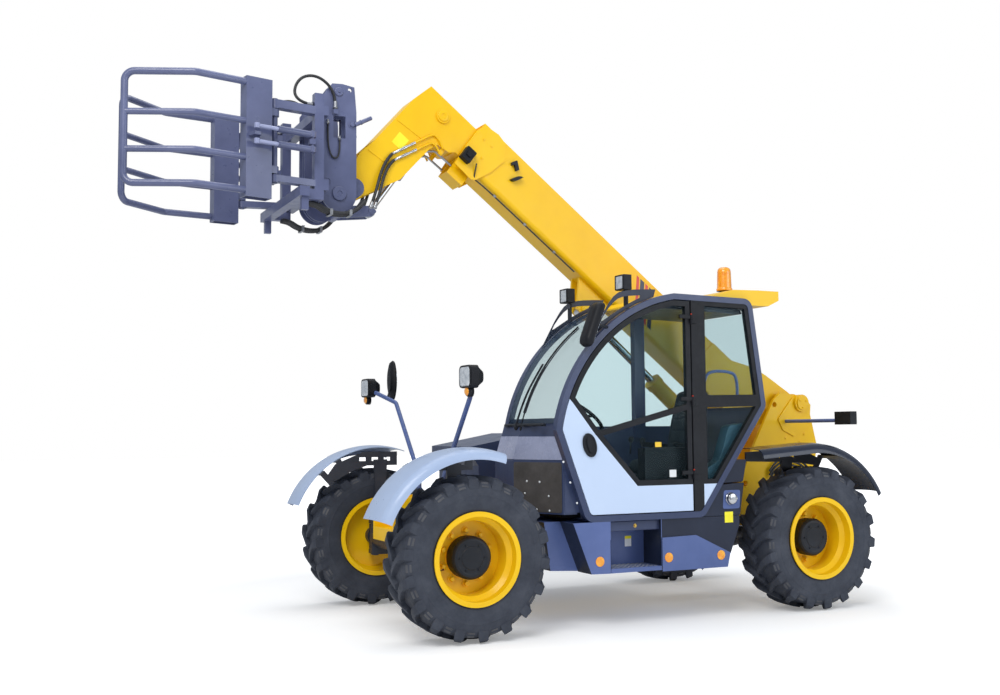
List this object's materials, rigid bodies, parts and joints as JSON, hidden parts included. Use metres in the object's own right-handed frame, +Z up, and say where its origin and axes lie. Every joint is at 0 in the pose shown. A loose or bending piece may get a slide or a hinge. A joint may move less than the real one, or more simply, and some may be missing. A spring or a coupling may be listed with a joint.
{
  "type": "telehandler with bale clamp",
  "caption": "Telehandler with a raised telescopic boom, an offset glazed cab, steered wheels on both axles and a two-armed bale clamp on a tilting carriage.",
  "frame": {"origin": "on the ground under the machine's middle, level with the underside of the tyres", "axes": "+X forward, +Y to the machine's left, +Z up"},
  "size_m": [6.2761, 2.5049, 4.2507],
  "materials": {
    "yellow_paint": "gloss paint",
    "slate_paint": "satin paint",
    "tool_paint": "satin paint",
    "slate_cover": "moulded cover",
    "pale_panel": "smooth moulded panel",
    "engine_metal": "cast",
    "axle_paint": "painted casting",
    "black_metal": "satin black",
    "black_plastic": "moulded",
    "seat_fabric": "woven",
    "tinted_glass": "tinted",
    "lamp_lens": "moulded lens",
    "steel_pin": "ground",
    "cylinder_rod": "hard chrome",
    "rubber_hose": "braided rubber",
    "tyre_rubber": "moulded rubber",
    "pipe_steel": "plated"
  },
  "bodies": {
    "machine": {"chassis_frame": "yellow_paint", "frame_pins": "steel_pin", "front_axle": "axle_paint", "rear_axle": "axle_paint", "engine_hood": "slate_cover", "engine_block": "engine_metal", "right_tank": "slate_cover", "side_skirts": "slate_cover", "cab_frame": "slate_paint", "cab_shell": "slate_cover", "quarter_frame": "black_plastic", "windscreen": "tinted_glass", "cab_windows": "tinted_glass", "roof_panel": "yellow_paint", "seat_base": "black_metal", "seat": "seat_fabric", "controls": "black_plastic", "lamp_stalks": "slate_paint", "headlamps": "black_plastic", "tail_lamps": "lamp_lens", "roof_lamps": "black_plastic", "mirrors": "black_plastic"},
    "door": {"door_panel": "pale_panel", "door_frame": "black_plastic", "door_glass": "tinted_glass"},
    "boom": {"outer_boom": "yellow_paint"},
    "telescope": {"inner_boom": "yellow_paint", "nose_pipes": "pipe_steel", "tilt_barrel": "black_metal"},
    "lift_cylinder_barrel": {"lift_barrel": "yellow_paint"},
    "lift_cylinder_rod": {"lift_rod": "cylinder_rod"},
    "tilt_cylinder_rod": {"tilt_rod": "cylinder_rod"},
    "tool": {"carriage": "tool_paint", "clamp_frame": "tool_paint", "clamp_hose_left": "rubber_hose", "clamp_hose_right": "rubber_hose"},
    "front_track_rod": {"front_steer_rod": "steel_pin"},
    "rear_track_rod": {"rear_steer_rod": "steel_pin"},
    "clamp_left": {"clamp_arm_left": "tool_paint"},
    "ram_barrels_left": {"clamp_barrels_left": "black_metal"},
    "ram_rods_left": {"clamp_rods_left": "cylinder_rod"},
    "clamp_right": {"clamp_arm_right": "tool_paint"},
    "ram_barrels_right": {"clamp_barrels_right": "black_metal"},
    "ram_rods_right": {"clamp_rods_right": "cylinder_rod"},
    "knuckle_front_left": {"knuckle_front_left": "axle_paint", "fender_front_left": "pale_panel"},
    "wheel_front_left": {"tyre_front_left": "tyre_rubber", "wheel_front_left": "yellow_paint"},
    "knuckle_front_right": {"knuckle_front_right": "axle_paint", "fender_front_right": "pale_panel"},
    "wheel_front_right": {"tyre_front_right": "tyre_rubber", "wheel_front_right": "yellow_paint"},
    "knuckle_rear_left": {"knuckle_rear_left": "axle_paint", "fender_rear_left": "pale_panel"},
    "wheel_rear_left": {"tyre_rear_left": "tyre_rubber", "wheel_rear_left": "yellow_paint"},
    "knuckle_rear_right": {"knuckle_rear_right": "axle_paint", "fender_rear_right": "pale_panel"},
    "wheel_rear_right": {"tyre_rear_right": "tyre_rubber", "wheel_rear_right": "yellow_paint"}
  },
  "joints": [
    {"name": "boom_lift", "type": "hinge", "parent": "machine", "child": "boom", "pos_m": [-2.94, 0, 1.705], "axis": [0, -1, 0], "range_deg": [-39, 22]},
    {"name": "lift_barrel_swing", "type": "hinge", "parent": "machine", "child": "lift_cylinder_barrel", "pos_m": [-2.52, 0, 1.01], "axis": [0, -1, 0], "range_deg": [-60, 45]},
    {"name": "lift_rod_slide", "type": "slide", "parent": "lift_cylinder_barrel", "child": "lift_cylinder_rod", "axis": [0.7601, 0, 0.6498], "range_m": [-0.62, 0.35]},
    {"name": "boom_extend", "type": "slide", "parent": "boom", "child": "telescope", "axis": [0.788, 0, 0.6157], "range_m": [0, 2.6]},
    {"name": "carriage_tilt", "type": "hinge", "parent": "telescope", "child": "tool", "pos_m": [1.33032, 0, 3.35354], "axis": [0, -1, 0], "range_deg": [-60, 54]},
    {"name": "tilt_rod_slide", "type": "slide", "parent": "telescope", "child": "tilt_cylinder_rod", "axis": [0.5856, 0, -0.8106], "range_m": [-0.25, 0.22]},
    {"name": "clamp_left_swing", "type": "hinge", "parent": "tool", "child": "clamp_left", "pos_m": [2.05, 0.505, 3.555], "axis": [0, 0, 1], "range_deg": [-25, 23]},
    {"name": "ram_left_swing", "type": "hinge", "parent": "tool", "child": "ram_barrels_left", "pos_m": [1.79, 0.565, 3.565], "axis": [0, 0, 1], "range_deg": [-15, 25]},
    {"name": "ram_left_slide", "type": "slide", "parent": "ram_barrels_left", "child": "ram_rods_left", "axis": [0.9804, 0.1972, 0], "range_m": [-0.09, 0.06]},
    {"name": "clamp_right_swing", "type": "hinge", "parent": "tool", "child": "clamp_right", "pos_m": [2.05, -0.505, 3.555], "axis": [0, 0, -1], "range_deg": [-6, 42]},
    {"name": "ram_right_swing", "type": "hinge", "parent": "tool", "child": "ram_barrels_right", "pos_m": [1.79, -0.565, 3.565], "axis": [0, 0, -1], "range_deg": [-15, 25]},
    {"name": "ram_right_slide", "type": "slide", "parent": "ram_barrels_right", "child": "ram_rods_right", "axis": [0.9986, -0.052, 0], "range_m": [-0.09, 0.06]},
    {"name": "front_left_steer", "type": "hinge", "parent": "machine", "child": "knuckle_front_left", "pos_m": [0.78, 0.9, 0.58], "axis": [0, 0, 1], "range_deg": [-35, 35]},
    {"name": "front_left_roll", "type": "hinge", "parent": "knuckle_front_left", "child": "wheel_front_left", "pos_m": [0.78, 1.02, 0.58], "axis": [0, 1, 0], "continuous": true},
    {"name": "front_right_steer", "type": "hinge", "parent": "machine", "child": "knuckle_front_right", "pos_m": [0.78, -0.9, 0.58], "axis": [0, 0, 1], "range_deg": [-35, 35]},
    {"name": "front_right_roll", "type": "hinge", "parent": "knuckle_front_right", "child": "wheel_front_right", "pos_m": [0.78, -1.02, 0.58], "axis": [0, 1, 0], "continuous": true},
    {"name": "front_track_rod_slide", "type": "slide", "parent": "machine", "child": "front_track_rod", "axis": [0, 1, 0], "range_m": [-0.09, 0.09]},
    {"name": "rear_left_steer", "type": "hinge", "parent": "machine", "child": "knuckle_rear_left", "pos_m": [-2.3, 0.9, 0.58], "axis": [0, 0, 1], "range_deg": [-35, 35]},
    {"name": "rear_left_roll", "type": "hinge", "parent": "knuckle_rear_left", "child": "wheel_rear_left", "pos_m": [-2.3, 1.02, 0.58], "axis": [0, 1, 0], "continuous": true},
    {"name": "rear_right_steer", "type": "hinge", "parent": "machine", "child": "knuckle_rear_right", "pos_m": [-2.3, -0.9, 0.58], "axis": [0, 0, 1], "range_deg": [-35, 35]},
    {"name": "rear_right_roll", "type": "hinge", "parent": "knuckle_rear_right", "child": "wheel_rear_right", "pos_m": [-2.3, -1.02, 0.58], "axis": [0, 1, 0], "continuous": true},
    {"name": "rear_track_rod_slide", "type": "slide", "parent": "machine", "child": "rear_track_rod", "axis": [0, 1, 0], "range_m": [-0.09, 0.09]},
    {"name": "cab_door", "type": "hinge", "parent": "machine", "child": "door", "pos_m": [-1.092, 1.148, 1.65], "axis": [0, 0, 1], "range_deg": [0, 85]}
  ],
  "couplings": [
    {"joint": "lift_barrel_swing", "follows": "boom_lift", "ratio": 0.995},
    {"joint": "lift_rod_slide", "follows": "boom_lift", "m_per_rad": 0.76},
    {"joint": "tilt_rod_slide", "follows": "carriage_tilt", "m_per_rad": 0.185},
    {"joint": "ram_left_swing", "follows": "clamp_left_swing", "ratio": 0.432},
    {"joint": "ram_left_slide", "follows": "clamp_left_swing", "m_per_rad": -0.107},
    {"joint": "ram_right_swing", "follows": "clamp_right_swing", "ratio": 0.441},
    {"joint": "ram_right_slide", "follows": "clamp_right_swing", "m_per_rad": -0.107},
    {"joint": "front_right_steer", "follows": "front_left_steer", "ratio": 1},
    {"joint": "front_track_rod_slide", "follows": "front_left_steer", "m_per_rad": -0.1408},
    {"joint": "rear_right_steer", "follows": "rear_left_steer", "ratio": 1},
    {"joint": "rear_track_rod_slide", "follows": "rear_left_steer", "m_per_rad": 0.1408}
  ]
}
